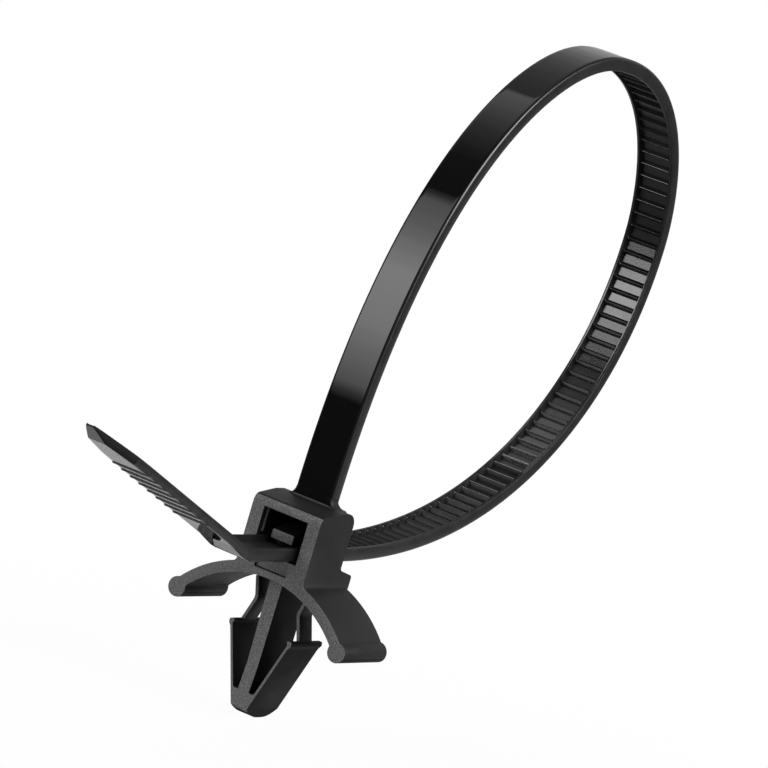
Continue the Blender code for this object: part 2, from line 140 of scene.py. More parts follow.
def select_faces(obj: Object, test: Test) -> int:
    """Selects the faces whose centre and normal pass a test.

    Args:
        obj: The object.
        test: Takes a face's centre and normal.

    Returns:
        How many faces are selected.
    """
    select_none(obj)
    chosen = [face for face in obj.data.polygons if test(face.center, face.normal)]
    for face in chosen:
        face.select = True
    return len(chosen)


def bevel(obj: Object, test: Test, width: float, steps: int) -> None:
    """Rounds the edges that pass a test.

    Args:
        obj: The object.
        test: Takes both ends of an edge.
        width: The radius.
        steps: Faces across the round.
    """
    if select_edges(obj, test):
        with editing(obj):
            bpy.ops.mesh.bevel(offset=width, segments=steps, profile=0.5, affect="EDGES", clamp_overlap=True)


def bisect(obj: Object, places: Iterable[float], axis: Vector) -> None:
    """Cuts the mesh across an axis at each place, and keeps both sides.

    Args:
        obj: The object.
        places: Where to cut, along the axis.
        axis: The direction across which to cut.
    """
    for place in places:
        with editing(obj):
            bpy.ops.mesh.select_all(action="SELECT")
            bpy.ops.mesh.bisect(plane_co=axis * place, plane_no=axis, threshold=HAIR)


def block(name: str, low: tuple[float, ...], high: tuple[float, ...]) -> Object:
    """A box between two corners, made from the cube primitive.

    Args:
        name: The object's name.
        low: Its lowest corner.
        high: Its highest corner.

    Returns:
        The new object, with its place in its mesh.
    """
    middle = [(a + b) / 2 for a, b in zip(low, high)]
    bpy.ops.mesh.primitive_cube_add(size=1, location=middle)
    obj = bpy.context.object
    obj.name = name
    obj.scale = [b - a for a, b in zip(low, high)]
    bpy.ops.object.transform_apply(location=True, rotation=True, scale=True)
    return obj


def extruded(name: str, outline: Points, plane: Side, low: float, high: float) -> Object:
    """A flat outline, drawn on a circle primitive's points and extruded across its plane.

    Args:
        name: The object's name.
        outline: Points across and up.
        plane: SIDE for (Y, Z) or FRONT for (X, Z).
        low: Where the solid starts along the plane's own axis.
        high: Where it ends.

    Returns:
        The new object.
    """
    bpy.ops.mesh.primitive_circle_add(vertices=len(outline), fill_type="NGON")
    obj = bpy.context.object
    obj.name = name
    for vertex, (across, up) in zip(obj.data.vertices, outline):
        vertex.co = (low, across, up) if plane is Side.SIDE else (across, low, up)
    step = (high - low, 0, 0) if plane is Side.SIDE else (0, high - low, 0)
    with editing(obj, "FACE"):
        bpy.ops.mesh.select_all(action="SELECT")
        bpy.ops.mesh.extrude_region_move(TRANSFORM_OT_translate={"value": step})
        bpy.ops.mesh.select_all(action="SELECT")
        bpy.ops.mesh.normals_make_consistent(inside=False)
    return obj


def boolean(obj: Object, other: Object, operation: str) -> None:
    """Joins or cuts with another object, which is used up.

    Args:
        obj: The object that stays.
        other: The object that is used up.
        operation: UNION, DIFFERENCE or INTERSECT.
    """
    activate(obj)
    step = obj.modifiers.new(operation.lower(), "BOOLEAN")
    step.operation = operation
    step.solver = "EXACT"
    step.object = other
    bpy.ops.object.modifier_apply(modifier=step.name)
    bpy.data.objects.remove(other, do_unlink=True)


def soften(obj: Object, width: float, steps: int = 2, angle: float = 35.0) -> None:
    """Rounds all the sharp edges that are left.

    Args:
        obj: The object.
        width: The radius.
        steps: Faces across the round.
        angle: Edges sharper than this are rounded, in degrees.
    """
    activate(obj)
    edge = obj.modifiers.new("rounded_edges", "BEVEL")
    edge.width = width
    edge.segments = steps
    edge.limit_method = "ANGLE"
    edge.angle_limit = math.radians(angle)
    edge.use_clamp_overlap = True
    edge.miter_outer = "MITER_ARC"
    bpy.ops.object.modifier_apply(modifier=edge.name)


def smooth(obj: Object, angle: float = 35.0) -> None:
    """Shades the mesh smooth, but for edges sharper than an angle in degrees."""
    activate(obj)
    bpy.ops.object.shade_smooth_by_angle(angle=math.radians(angle))


def arc(centre: tuple[float, float], radius: float, start: float, end: float, steps: int) -> Points:
    """Points on an arc.

    Args:
        centre: Its centre.
        radius: Its radius.
        start: The first angle, in degrees.
        end: The last angle, in degrees.
        steps: How many steps from first to last.

    Returns:
        The points, from first to last.
    """
    angles = [math.radians(start + (end - start) * i / steps) for i in range(steps + 1)]
    return [(centre[0] + radius * math.cos(angle), centre[1] + radius * math.sin(angle)) for angle in angles]


def rounded(corners: list[tuple[float, float, float]], steps: int = 8) -> Points:
    """A closed outline with an arc at each corner.

    Args:
        corners: Each corner's place across and up, and its radius.
        steps: Steps in each arc.

    Returns:
        The outline's points.
    """
    outline: Points = []
    count = len(corners)
    longest = 0.48
    for i, (across, up, radius) in enumerate(corners):
        here = Vector((across, up))
        before = Vector(corners[i - 1][:2]) - here
        after = Vector(corners[(i + 1) % count][:2]) - here
        if radius <= 0:
            outline.append(tuple(here))
            continue
        half = before.angle(after) / 2
        reach = min(radius / math.tan(half), longest * before.length, longest * after.length)
        true_radius = reach * math.tan(half)
        inward = (before.normalized() + after.normalized()).normalized()
        centre = here + inward * (true_radius / math.sin(half))
        first = here + before.normalized() * reach - centre
        last = here + after.normalized() * reach - centre
        turn = first.angle_signed(last)
        for k in range(steps + 1):
            angle = -turn * k / steps
            c, s = math.cos(angle), math.sin(angle)
            outline.append((centre.x + c * first.x - s * first.y, centre.y + s * first.x + c * first.y))
    return outline


def keep(obj: Object) -> Object:
    """Puts a finished piece on its body and hides the imported part that it stands for.

    Args:
        obj: The finished piece.

    Returns:
        The same piece.
    """
    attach(obj, BODY)
    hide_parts(NODE)
    LOG.info("%s: %d faces", obj.name, len(obj.data.polygons))
    return obj


# Finishes


def node(tree: Tree, kind: str, inputs: dict, **settings: str) -> bpy.types.Node:
    """Adds a shader node.

    Args:
        tree: The nodes to add it to.
        kind: Its type, without ShaderNode in front.
        inputs: A constant or another node's output for its inputs, by name or number.
        settings: The node's own options.

    Returns:
        The new node.
    """
    made = tree.nodes.new("ShaderNode" + kind)
    for name, value in settings.items():
        setattr(made, name, value)
    for name, value in inputs.items():
        if isinstance(value, Socket):
            tree.links.new(value, made.inputs[name])
        else:
            made.inputs[name].default_value = value
    return made


def change(tree: Tree, value: Socket, between: tuple[float, float], results: tuple[float, float]) -> Socket:
    """A value that changes evenly from one result to another.

    Args:
        tree: The nodes.
        value: What it follows.
        between: Where it starts and ends to change.
        results: Its first and last value.

    Returns:
        The socket with the result.
    """
    low, high = between
    first, last = results
    inputs = {"From Min": low, "From Max": high, "To Min": first, "To Max": last, "Value": value}
    return node(tree, "MapRange", inputs).outputs["Result"]


@dataclass(frozen=True)
class Nylon:
    """One moulded finish of the black nylon."""

    name: str
    colour: tuple[float, float, float] = (0.0075, 0.0075, 0.008)
    roughness: float = 0.3
    roughness_spread: float = 0.04
    specular: float = 0.5
    ior: float = 1.52
    mottle: float = 0.25
    mottle_size: float = 2.0 * MM
    mottle_span: tuple[float, float] = (0.3, 0.7)
    grain_size: float = 0.12 * MM
    grain_height: float = 0.0
    wave_size: float = 6.0 * MM
    wave_height: float = 0.0

    def material(self) -> bpy.types.Material:
        """Builds the finish from noise on object coordinates.

        Returns:
            The new material.
        """
        material = bpy.data.materials.new(self.name)
        material.use_nodes = True
        tree = material.node_tree
        shader = tree.nodes["Principled BSDF"]
        shader.inputs["Metallic"].default_value = 0.0
        shader.inputs["IOR"].default_value = self.ior
        shader.inputs["Specular IOR Level"].default_value = self.specular
        place = node(tree, "TexCoord", {}).outputs["Object"]
        mottle = self.noise(tree, place, self.mottle_size, 3.0)
        colours = node(tree, "ValToRGB", {"Fac": mottle})
        for end, position, sign in zip(colours.color_ramp.elements, self.mottle_span, (-1, 1)):
            end.position = position
            end.color = (*(c * (1 + sign * self.mottle) for c in self.colour), 1)
        tree.links.new(colours.outputs["Color"], shader.inputs["Base Color"])
        spread = (self.roughness - self.roughness_spread, self.roughness + self.roughness_spread)
        tree.links.new(change(tree, mottle, self.mottle_span, spread), shader.inputs["Roughness"])
        bent: dict[str, Socket] = {}
        waves = (self.wave_size, 1.0, self.wave_height)
        grain = (self.grain_size, 2.0, self.grain_height)
        for size, detail, height in (waves, grain):
            if height:
                pattern = self.noise(tree, place, size, detail)
                bump = node(tree, "Bump", {"Strength": 1.0, "Distance": height, "Height": pattern, **bent})
                bent = {"Normal": bump.outputs["Normal"]}
        if bent:
            tree.links.new(bent["Normal"], shader.inputs["Normal"])
        return material

    @staticmethod
    def noise(tree: Tree, place: Socket, size: float, detail: float) -> Socket:
        """A noise pattern with blotches of a real size."""
        return node(tree, "TexNoise", {"Scale": 1 / size, "Detail": detail, "Vector": place}).outputs["Fac"]


POLISHED = Nylon(
    "polished_nylon", (0.003, 0.003, 0.0032), roughness=0.018, roughness_spread=0.006, mottle=0.1,
    wave_height=0.003 * MM,
)
SATIN = Nylon("satin_nylon", roughness=0.36, grain_height=0.004 * MM)
MATT = Nylon("matt_nylon", (0.004, 0.004, 0.0042), roughness=0.55, specular=0.3, grain_height=0.006 * MM)
# Painted shade: a darker, barely reflective copy of the nylon for faces that lie in shade, such as the
# rails' inner walls, the teeth's steep flanks, the undersides, the pawl and the arrowhead.
PAINTED_SHADE = Nylon("painted_shade_nylon", (0.003, 0.003, 0.0032), roughness=0.6, specular=0.15)
# Real moulding grain and mottle on the front faces, with a pale grey colour that paints in the soft box's
# light scattered by the grain: partly real texture, partly painted sheen.
GRAIN_AND_SHEEN = Nylon(
    "grain_and_painted_sheen_nylon", (0.105, 0.105, 0.107), roughness=0.6, specular=0.8, mottle=0.65, mottle_size=0.17 * MM,
    grain_size=0.2 * MM, grain_height=0.1 * MM,
)
# Painted shade on the teeth: a darker, duller copy of their finish, for the teeth far up the loop and close
# to the head.
TEETH_SHADE = Nylon("teeth_painted_shade_nylon", (0.008, 0.008, 0.0082), roughness=0.4, specular=0.25, grain_height=0.006 * MM)
# Painted highlight on the teeth: a lighter, more reflective copy of their finish, for the teeth along the
# middle of the far side and for every crest line.
TEETH_HIGHLIGHT = Nylon(
    "teeth_painted_highlight_nylon", (0.014, 0.014, 0.0144), roughness=0.22, specular=1.0, grain_size=0.2 * MM,
    grain_height=0.012 * MM,
)


def faces_front(centre: Vector, normal: Vector) -> bool:
    """Whether a face looks to the front, where the moulding's grain shows and a painted sheen makes it pale
    grey.
    """
    return normal.y < -0.5


def dress(obj: Object, finishes: list[tuple[Nylon, Test | None]]) -> None:
    """Gives each face of a piece its finish.

    Args:
        obj: The piece.
        finishes: Each finish with a test on a face's centre and normal. The first has None and
            covers all that no later one takes.
    """
    obj.data.materials.clear()
    for index, (finish, test) in enumerate(finishes):
        obj.data.materials.append(bpy.data.materials.get(finish.name) or finish.material())
        if test and select_faces(obj, test):
            with editing(obj, "FACE"):
                obj.active_material_index = index
                bpy.ops.object.material_slot_assign()


def finished(obj: Object, finishes: list[tuple[Nylon, Test | None]], angle: float = 35.0) -> Object:
    """Smooths and dresses a piece, and keeps it.

    Args:
        obj: The piece.
        finishes: What dress takes.
        angle: Edges sharper than this stay sharp, in degrees.

    Returns:
        The finished piece.
    """
    smooth(obj, angle)
    dress(obj, finishes)
    return keep(obj)


# Strap


@dataclass
class Route:
    """The strap's way in the side plane, measured along the tops of its teeth."""

    crest: float
    root_back: float = 0.6 * MM
    root_inside: float = 1.1 * MM
    head_top: float = 14.4 * MM
    loop_top: tuple[float, float] = (32.0 * MM, 66.22 * MM)
    loop_far: tuple[float, float] = (54.0 * MM, 45.43 * MM)
    slot: tuple[float, float] = (4.2 * MM, 8.35 * MM)
    rise_reach: float = 39.6 * MM
    top_reach_back: float = 10.95 * MM
    top_reach_on: float = 16.7 * MM
    far_reach_up: float = 7.4 * MM
    far_reach_down: float = 19.7 * MM
    slot_reach: float = 32.7 * MM
    bend_place: float = 13.04 * MM
    bend_radius: float = 7.0 * MM
    tail_angle: float = math.radians(20.9)
    tail_length: float = 35.8 * MM
    points: list[Vector] = field(default_factory=list)
    turns: list[Vector] = field(default_factory=list)
    lengths: list[float] = field(default_factory=list)
    tail_start: float = 0.0

    def __post_init__(self) -> None:
        """Works out the points, the directions and the lengths."""
        up, on = Vector((0, 1)), Vector((1, 0))
        root = Vector((-self.root_back, self.head_top - self.root_inside))
        top, far, slot = Vector(self.loop_top), Vector(self.loop_far), Vector(self.slot)
        rise = self.root_inside + self.rise_reach
        self.add_curve(root, root + up * rise, top - on * self.top_reach_back, top)
        self.add_curve(top, top + on * self.top_reach_on, far + up * self.far_reach_up, far)
        self.add_curve(far, far - up * self.far_reach_down, slot + on * self.slot_reach, slot)
        self.points += [slot, Vector((0, slot.y))]
        bend = Vector((-self.bend_place, slot.y))
        cut_back = self.bend_radius * math.tan(self.tail_angle / 2)
        centre = bend + Vector((cut_back, self.bend_radius))
        end = -90 - math.degrees(self.tail_angle)
        self.points += [Vector(p) for p in arc(centre, self.bend_radius, -90, end, 16)]
        start = len(self.points) - 1
        along = Vector((-math.cos(self.tail_angle), math.sin(self.tail_angle)))
        self.points.append(bend + along * self.tail_length)
        runs = [(b - a).normalized() for a, b in zip(self.points, self.points[1:])]
        self.turns = [runs[0]] + [(a + b).normalized() for a, b in zip(runs, runs[1:])] + [runs[-1]]
        tooth_line = [p + Vector((t.y, -t.x)) * self.crest for p, t in zip(self.points, self.turns)]
        self.lengths = [0.0]
        for a, b in zip(tooth_line, tooth_line[1:]):
            self.lengths.append(self.lengths[-1] + (b - a).length)
        self.tail_start = self.lengths[start]

    def add_curve(self, start: Vector, start_pull: Vector, end_pull: Vector, end: Vector) -> None:
        """Adds a cubic curve.

        Args:
            start: Where it leaves.
            start_pull: Where it heads at first.
            end_pull: Where it comes from at last.
            end: Where it ends, which the next run adds.
        """
        steps = 160
        for i in range(steps):
            t = i / steps
            self.points.append(
                start * (1 - t) ** 3
                + start_pull * 3 * t * (1 - t) ** 2
                + end_pull * 3 * t * t * (1 - t)
                + end * t**3
            )

    @property
    def total(self) -> float:
        """The whole length."""
        return self.lengths[-1]

    def place(self, length: float) -> tuple[Vector, Vector]:
        """Finds a place on the outer face.

        Args:
            length: How far along.

        Returns:
            The point, and the way towards the inner face.
        """
        low = min(max(bisect_right(self.lengths, length) - 1, 0), len(self.points) - 2)
        share = (length - self.lengths[low]) / (self.lengths[low + 1] - self.lengths[low])
        point = self.points[low].lerp(self.points[low + 1], share)
        ahead = self.turns[low].lerp(self.turns[low + 1], share).normalized()
        return point, Vector((ahead.y, -ahead.x))


@dataclass
class Strap:
    """The strap and its tail: made straight, then laid along its route.

    While it is straight, X is the length from the root, Y the width and -Z the depth.
    """

    width: float = 4.8 * MM
    thickness: float = 1.55 * MM
    outer_edge: float = 0.4 * MM
    inner_edge: float = 0.15 * MM
    rail_width: float = 0.35 * MM
    rail_lean: float = 0.25 * MM
    crest_drop: float = 0.15 * MM
    tooth_depth: float = 0.5 * MM
    tooth_pitch: float = 1.5 * MM
    tooth_rise: float = 0.28 * MM
    tooth_fall: float = 0.34 * MM
    tooth_ramp: float = 0.08 * MM
    crest_edge: float = 0.06 * MM
    plain_root: float = 18.15 * MM
    teeth_before_bend: float = 9.5 * MM
    teeth_run_out: float = 0.8 * MM
    tail_thickness: float = 1.2 * MM
    tail_thin: float = 0.98 * MM
    thin_place: float = 4.4 * MM
    thin_step: float = 3.0 * MM
    rib_count: int = 8
    rib_first: float = 10.5 * MM
    rib_pitch: float = 2.1 * MM
    rib_ahead: float = 0.4 * MM
    rib_flank: float = 0.14 * MM
    rib_back: float = 0.42 * MM
    rib_height: float = 0.15 * MM
    shallow: float = 0.05 * MM
    tip_length: float = 8.0 * MM
    tip_width: float = 1.0 * MM
    tip_slant: float = 2.4 * MM
    tip_edge: float = 0.25 * MM
    tip_clear: float = 0.1 * MM
    tip_curve: float = 0.8
    tip_cut_curve: float = 1.4
    inwards: float = 0.005 * MM
    # The band of the loop's height where the teeth get a painted highlight; above and below it they get
    # painted shade.
    highlight_from: float = 18.6 * MM
    highlight_to: float = 45.0 * MM
    loop_start: float = 2.0 * MM
    loop_middle: tuple[float, float] = (26.0 * MM, 38.0 * MM)

    def build(self) -> Object:
        """Models, lays and dresses the strap.

        Returns:
            The finished piece.
        """
        route = Route(crest=self.thickness - self.crest_drop)
        first = self.plain_root
        last = route.tail_start - self.teeth_before_bend
        teeth = int((last - first) / self.tooth_pitch)
        last = first + teeth * self.tooth_pitch
        strap = self.toothed_run(first, teeth)
        runs = [self.root_run(first), self.plain_run(last, route), self.tail_run(route)]
        self.join(strap, runs)
        self.lay(strap, route)
        smooth(strap, 40)
        self.sharpen_ribs(strap, route)
        self.finish(strap)
        return keep(strap)

    def toothed_run(self, first: float, teeth: int) -> Object:
        """Models one tooth between its rails and repeats it.

        Args:
            first: Where the first tooth starts.
            teeth: How many there are.

        Returns:
            The toothed length, open at both ends.
        """
        rise = self.tooth_rise
        cell = self.straight("strap", (0, self.tooth_pitch), (rise, rise + self.tooth_fall), self.thickness)
        crest = self.thickness - self.crest_drop
        for vertex in cell.data.vertices:
            x = vertex.co.x
            if not self.on_floor(vertex.co, self.thickness):
                continue
            depth = crest - self.tooth_depth
            if abs(x - rise) < HAIR:
                depth = crest
            elif x < HAIR or x > self.tooth_pitch - HAIR:
                depth += self.tooth_ramp
            vertex.co.z = -depth

        def on_crest(place: Vector) -> bool:
            """Whether a point is on the tooth's top line."""
            between_rails = abs(place.y) < self.inside + HAIR
            return between_rails and abs(place.x - rise) < HAIR and place.z < HAIR - crest

        bevel(cell, lambda a, b: on_crest(a) and on_crest(b), self.crest_edge, 2)
        # Marks the crest faces for a painted highlight and the steep flank faces for painted shade.
        flank = cell.data.attributes.new("flank", "BOOLEAN", "FACE")
        tip = cell.data.attributes.new("tip", "BOOLEAN", "FACE")
        for face in cell.data.polygons:
            is_tip = abs(face.center.x - rise) < self.crest_edge and face.normal.z < -0.4
            tip.data[face.index].value = is_tip and abs(face.center.y) < self.width / 2 - self.rail_width
            flank.data[face.index].value = not is_tip and face.normal.x < -0.4 and face.normal.z < -0.3
        activate(cell)
        copies = cell.modifiers.new("teeth", "ARRAY")
        copies.count = teeth
        copies.use_relative_offset = False
        copies.use_constant_offset = True
        copies.constant_offset_displace = (self.tooth_pitch, 0, 0)
        copies.use_merge_vertices = True
        copies.merge_threshold = MERGE
        bpy.ops.object.modifier_apply(modifier=copies.name)
        for vertex in cell.data.vertices:
            vertex.co.x += first
        return cell

    def straight(
        self,
        name: str,
        ends: tuple[float, float],
        places: Iterable[float],
        depth: float,
        closed: bool = False,
    ) -> Object:
        """Models a straight run with its rails marked and its rims rounded.

        Args:
            name: The run's name.
            ends: Where it starts and ends.
            places: Where it is cut across, so that it can bend.
            depth: How thick it is.
            closed: Whether it keeps the face at its end.

        Returns:
            The run, open where it joins another.
        """
        half = self.width / 2
        run = block(name, (ends[0], -half, -depth), (ends[1], half, 0))
        select_faces(run, lambda centre, normal: normal.x < -0.9 or normal.x > 0.9 and not closed)
        with editing(run, "FACE"):
            bpy.ops.mesh.delete(type="FACE")
        rail = half - self.rail_width
        bisect(run, (-rail, -self.inside, self.inside, rail), Vector((0, 1, 0)))
        bisect(run, places, Vector((1, 0, 0)))
        rim, low = half - HAIR, HAIR - depth
        bevel(run, lambda a, b: min(abs(a.y), abs(b.y)) > rim and min(a.z, b.z) > -HAIR, self.outer_edge, 5)
        bevel(run, lambda a, b: min(abs(a.y), abs(b.y)) > rim and max(a.z, b.z) < low, self.inner_edge, 2)
        return run

    def channel(self, name: str, first: float, last: float, places: list[float]) -> Object:
        """Models a run whose floor between the rails is as deep as between two teeth.

        Args:
            name: The run's name.
            first: Where it starts.
            last: Where it ends.
            places: Where it is cut across, so that it can bend.

        Returns:
            The run, open at both ends.
        """
        run = self.straight(name, (first, last), places, self.thickness)
        floor = self.thickness - self.crest_drop - self.tooth_depth + self.tooth_ramp
        for vertex in run.data.vertices:
            if self.on_floor(vertex.co, self.thickness):
                vertex.co.z = -floor
        return run

    @property
    def inside(self) -> float:
        """Half the width between the rails."""
        return self.width / 2 - self.rail_width - self.rail_lean

    def on_floor(self, place: Vector, depth: float) -> bool:
        """Whether a point of a straight run lies between its rails, on the inner side."""
        return place.z < HAIR - depth and abs(place.y) < self.inside + HAIR

    def root_run(self, last: float) -> Object:
        """Models the plain length that grows out of the head, up to the first tooth."""
        pieces = 18
        return self.channel("root_run", 0, last, [last * i / pieces for i in range(1, pieces)])

    def plain_run(self, first: float, route: Route) -> Object:
        """Models the plain length between the teeth and the tail. Its rails get lower along the bend.

        Args:
            first: Where the teeth end.
            route: The strap's route.

        Returns:
            The run, open at both ends.
        """
        start, last = first + self.teeth_run_out, route.tail_start
        bend = last - route.tail_angle * route.bend_radius
        steps = 12
        places = [start] + [bend + (last - bend) * i / steps for i in range(steps)]
        run = self.channel("plain_run", first, last, places)
        for vertex in run.data.vertices:
            thin = max(0.0, (vertex.co.x - bend) / (last - bend))
            if vertex.co.z < -self.thickness + self.inner_edge + HAIR:
                vertex.co.z += (self.thickness - self.tail_thickness) * thin
        return run

    def outer_depth(self, place: float, length: float) -> float:
        """How deep the tail's outer face lies.

        Args:
            place: How far past the bend.
            length: The tail's length past the bend.

        Returns:
            The depth below the strap's own outer face.
        """
        thin = self.tail_thickness - self.tail_thin
        if place < self.thin_place - self.thin_step:
            return 0.0
        if place < self.thin_place:
            return thin * (place - self.thin_place + self.thin_step) / self.thin_step
        depth = thin
        for i in range(self.rib_count):
            past = place - self.rib_first - i * self.rib_pitch
            down = (self.rib_ahead - past) / self.rib_flank
            up = min(down, (past + self.rib_back) / (self.rib_back + self.rib_ahead))
            if up > 0:
                depth = thin - self.rib_height * min(1.0, up)
        left = length - place
        if left < self.tip_slant:
            share = 1 - left / self.tip_slant
            depth = thin + (self.tail_thin - self.tip_edge) * share
        return depth

    def half_width(self, left: float) -> float:
        """Half the tail's width, a length before its end."""
        half, end = self.width / 2, self.tip_width / 2
        return end + (half - end) * min(1.0, max(left, 0.0) / self.tip_length) ** self.tip_curve

    def tail_run(self, route: Route) -> Object:
        """Models the tail: slowly thinner, then ribbed outside, then its slanted end.

        Args:
            route: The strap's route.

        Returns:
            The tail, open at the bend.
        """
        inner, first, total = self.tail_thickness, route.tail_start, route.total
        bend = total - route.tail_length
        thinning = bend + self.thin_place - self.thin_step
        cuts = [thinning + self.thin_step * i / 10 for i in range(11)]
        for i in range(self.rib_count):
            middle = bend + self.rib_first + i * self.rib_pitch
            ahead = middle + self.rib_ahead
            cuts += [middle - self.rib_back, ahead - self.rib_flank, ahead]
        tip_steps, last_rib = 16, cuts[-1]
        for i in range(1, tip_steps):
            place = total - self.tip_length * (i / tip_steps) ** self.tip_cut_curve
            if place > last_rib + self.tip_clear:
                cuts.append(place)
        cuts.append(total - self.tip_slant)
        tail = self.straight("tail_run", (first, total), sorted(cuts), inner, closed=True)
        for vertex in tail.data.vertices:
            x, y, z = vertex.co
            outer = self.outer_depth(x - bend, total - bend)
            vertex.co.z = z * (inner - outer) / inner - outer
            if self.on_floor(Vector((x, y, z)), inner):
                vertex.co.z += self.shallow
            vertex.co.y = y * self.half_width(total - x) / (self.width / 2)
        return tail

    def join(self, obj: Object, others: list[Object]) -> None:
        """Makes the straight runs one mesh.

        Args:
            obj: The run that stays.
            others: The runs that it takes in.
        """
        activate(obj)
        for other in others:
            other.select_set(True)
        bpy.ops.object.join()
        with editing(obj, "VERT"):
            bpy.ops.mesh.select_all(action="SELECT")
            bpy.ops.mesh.remove_doubles(threshold=MERGE)

    def lay(self, obj: Object, route: Route) -> None:
        """Moves the straight strap to its route.

        Args:
            obj: The straight strap.
            route: Where it goes.
        """
        for vertex in obj.data.vertices:
            x, y, z = vertex.co
            point, inward = route.place(x)
            here = point + inward * (self.inwards - z)
            vertex.co = (y, here.x, here.y)
        with editing(obj, "FACE"):
            bpy.ops.mesh.select_all(action="SELECT")
            bpy.ops.mesh.normals_make_consistent(inside=False)

    def sharpen_ribs(self, obj: Object, route: Route) -> None:
        """Keeps the ribs' faces flat where they meet.

        Args:
            obj: The laid strap.
            route: Its route.
        """
        place = route.total - route.tail_length + self.rib_first - 2 * self.rib_ahead
        front = route.place(place)[0].x
        select_edges(obj, lambda a, b: max(a.y, b.y) < front and abs(a.x - b.x) > 0.9 * (a - b).length)
        with editing(obj):
            bpy.ops.mesh.mark_sharp()

    def finish(self, obj: Object) -> None:
        """Polished outside and satin edges; a painted highlight on the teeth along the middle of the far
        side, painted shade on the other teeth, the rails' inner walls and the tooth flanks.

        Args:
            obj: The laid strap.
        """
        rail = self.width / 2 - self.rail_width
        middle = Vector(self.loop_middle)

        def on_plain_top(centre: Vector, normal: Vector) -> bool:
            """Whether a face is on top of the strap in front of the head."""
            return centre.y < -self.loop_start and normal.z > 0.3 and abs(normal.x) < 0.9

        def on_teeth(centre: Vector, normal: Vector) -> bool:
            """Whether a face is part of the teeth."""
            inwards = (centre.yz - middle).dot(normal.yz) < 0
            return inwards and abs(normal.x) <= 0.7 and centre.y >= self.loop_start

        def on_shaded_teeth(centre: Vector, normal: Vector) -> bool:
            """Whether a face is part of the teeth far up or close to the head, which get painted shade."""
            return on_teeth(centre, normal) and not self.highlight_from < centre.z < self.highlight_to

        def on_wall(centre: Vector, normal: Vector) -> bool:
            """Whether a face is on a rail's inner side, which gets painted shade."""
            return abs(centre.x) < rail + 0.5 * self.rail_width and abs(normal.x) > 0.4

        dress(obj, [
            (POLISHED, None),
            (SATIN, lambda centre, normal: abs(normal.x) > 0.8),
            (PAINTED_SHADE, on_wall),
            (TEETH_HIGHLIGHT, on_teeth),
            (TEETH_SHADE, on_shaded_teeth),
            (MATT, on_plain_top),
        ])
        # Every crest line gets the painted highlight and every steep flank the painted shade.
        for kind, finish in (("flank", PAINTED_SHADE), ("tip", TEETH_HIGHLIGHT)):
            marks = obj.data.attributes[kind]
            for face in obj.data.polygons:
                if marks.data[face.index].value:
                    face.material_index = obj.data.materials.find(finish.name)


# Head


@dataclass
class Head:
    """The head with its slot, pawl chamber, ledge and recess, in one with the wing below it."""

    width: float = 8.8 * MM
    front: float = 4.74 * MM
    rear: float = 1.9 * MM
    bottom: float = 6.05 * MM
    slot_floor: float = 8.15 * MM
    slot_roof: float = 12.9 * MM
    slot_width: float = 5.74 * MM
    chamber_width: float = 5.2 * MM
    passage_top: float = 10.1 * MM
    mouth_depth: float = 0.7 * MM
    rear_wall: float = 1.3 * MM
    roof_front: float = 0.95 * MM
    roof_rear: float = 1.5 * MM
    top_round: float = 0.9 * MM
    rear_round: float = 2.1 * MM
    side_round: float = 0.45 * MM
    ledge_length: float = 2.55 * MM
    ledge_fall: float = 0.6 * MM
    ledge_round: float = 0.4 * MM
    notch_round: float = 0.45 * MM
    recess_width: float = 4.1 * MM
    recess_height: float = 1.1 * MM
    recess_depth: float = 0.3 * MM
    recess_slant: float = 0.1 * MM
    recess_below: float = 0.55 * MM
    top_start: float = 1.0 * MM
    overlap: float = 0.4 * MM
    past: float = 1.0 * MM

    def build(self, wing: Object) -> Object:
        """Models the head, joins the wing to it and dresses both.

        Args:
            wing: The wing, which is used up.

        Returns:
            The finished piece.
        """
        front, rear = -self.front, self.rear
        top = self.slot_roof + self.roof_rear
        ledge_end = rear + self.ledge_length
        outline = rounded([
            (front, self.bottom, 0),
            (ledge_end, self.bottom, 0),
            (ledge_end, self.slot_floor - self.ledge_fall, self.ledge_round),
            (rear, self.slot_floor, self.notch_round),
            (rear, top, self.rear_round),
            (-self.top_start, top, 0),
            (front, self.slot_roof + self.roof_front, self.top_round),
        ])
        head = extruded("head_and_wing", outline, Side.SIDE, -self.width / 2, self.width / 2)
        side = self.width / 2 - HAIR
        low = self.bottom + HAIR
        bevel(head, lambda a, b: min(abs(a.x), abs(b.x)) > side and max(a.z, b.z) > low, self.side_round, 5)
        boolean(head, wing, "UNION")
        for cutter in self.cutters():
            boolean(head, cutter, "DIFFERENCE")
        # The faces that look down under the wing get painted shade; the front faces get the grain with its
        # painted sheen.
        return finished(head, [
            (MATT, None),
            (PAINTED_SHADE, lambda centre, normal: normal.z < -0.3 and centre.z < self.bottom),
            (GRAIN_AND_SHEEN, lambda centre, normal: normal.y < -0.6),
        ], 30)

    def cutters(self) -> list[Object]:
        """Makes what is cut out: the strap's passage, the chamber, the mouth and the recess.

        Returns:
            The cutters.
        """
        beyond = -self.front - self.past
        behind = self.rear + self.ledge_length + self.past
        half, narrow = self.slot_width / 2, self.chamber_width / 2
        low = self.passage_top - self.overlap
        recess_top = self.slot_floor - self.recess_below
        recess = block(
            "recess",
            (-self.recess_width / 2, -self.front - self.recess_depth, recess_top - self.recess_height),
            (self.recess_width / 2, -self.front + self.recess_depth, recess_top),
        )
        for vertex in recess.data.vertices:
            if vertex.co.z < recess_top - HAIR and vertex.co.y > -self.front:
                vertex.co.z += self.recess_slant
            elif vertex.co.z < recess_top - HAIR:
                vertex.co.z -= self.recess_slant
        return [
            recess,
            block("passage", (-half, beyond, self.slot_floor), (half, behind, self.passage_top)),
            block("chamber", (-narrow, beyond, low), (narrow, self.rear - self.rear_wall, self.slot_roof)),
            block("mouth", (-half, beyond, low), (half, -self.front + self.mouth_depth, self.slot_roof)),
        ]


